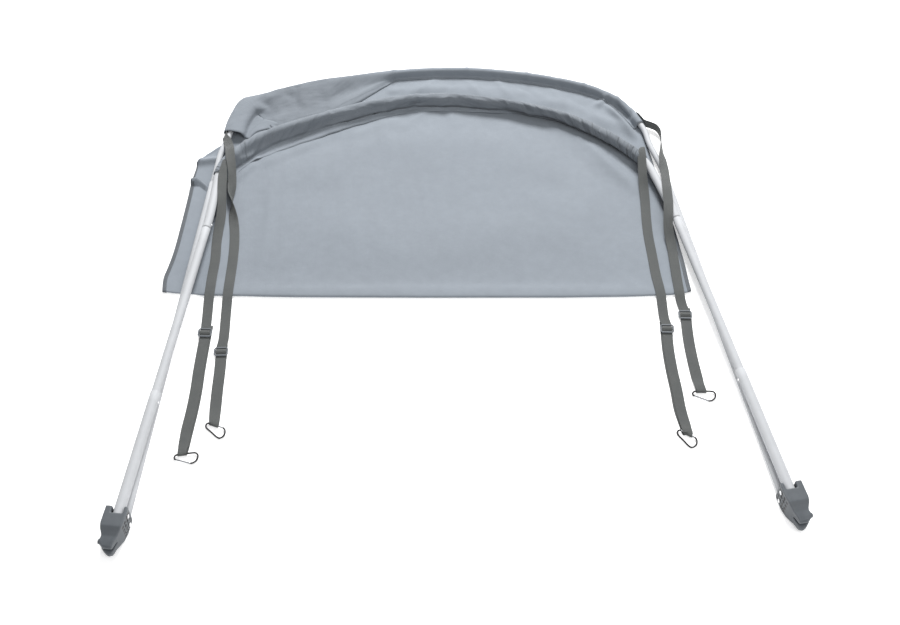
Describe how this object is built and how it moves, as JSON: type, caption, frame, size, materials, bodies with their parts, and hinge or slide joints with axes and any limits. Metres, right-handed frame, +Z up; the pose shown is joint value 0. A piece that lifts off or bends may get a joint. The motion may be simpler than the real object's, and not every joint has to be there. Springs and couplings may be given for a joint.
{
  "type": "bimini top canvas folded on its two-bow frame",
  "caption": "Grey boat sun canopy cloth with its tubular folding bow frame, folded flat, with strap and hook stays lying beside the legs and hinged plastic feet.",
  "frame": {"origin": "middle of the bounding box in plan, at the floor", "axes": "+Z up, +X to the right of the folded top, +Y from the feet towards the bends of the bows"},
  "size_m": [1.548, 1.5374, 0.0571],
  "materials": {
    "canvas": "woven acrylic canvas, light grey",
    "binding": "woven edge tape, mid grey",
    "webbing": "flat webbing, mid grey",
    "bow_tube": "bright brushed tube",
    "foot_plastic": "moulded, grey",
    "slider_plastic": "moulded, grey",
    "hook_wire": "black coated wire",
    "gate_wire": "bright steel",
    "rivet": "bright domed head",
    "button": "white snap button"
  },
  "bodies": {
    "root": {"button_b_lower_left": "button", "button_b_lower_right": "button", "button_b_upper_left": "button", "button_b_upper_right": "button", "button_a_left": "button", "button_a_right": "button", "foot_left": "foot_plastic", "foot_pin_b_left": "rivet", "foot_pin_a_left": "rivet", "foot_right": "foot_plastic", "foot_pin_b_right": "rivet", "foot_pin_a_right": "rivet", "bow_a_lower_left": "bow_tube", "bow_a_lower_right": "bow_tube", "bow_b_lower_left": "bow_tube", "bow_b_lower_right": "bow_tube", "bow_b_middle_left": "bow_tube", "bow_b_middle_right": "bow_tube", "bow_a_arch": "bow_tube", "bow_b_arch": "bow_tube", "canvas": "canvas", "binding_left": "binding", "binding_right": "binding", "strap_b_left": "webbing", "strap_a_left": "webbing", "strap_b_right": "webbing", "strap_a_right": "webbing", "slider_b_left": "slider_plastic", "slider_a_left": "slider_plastic", "slider_b_right": "slider_plastic", "slider_a_right": "slider_plastic", "hook_b_left": "hook_wire", "gate_b_left": "gate_wire", "hook_a_left": "hook_wire", "gate_a_left": "gate_wire", "hook_b_right": "hook_wire", "gate_b_right": "gate_wire", "hook_a_right": "hook_wire", "gate_a_right": "gate_wire"}
  },
  "joints": []
}
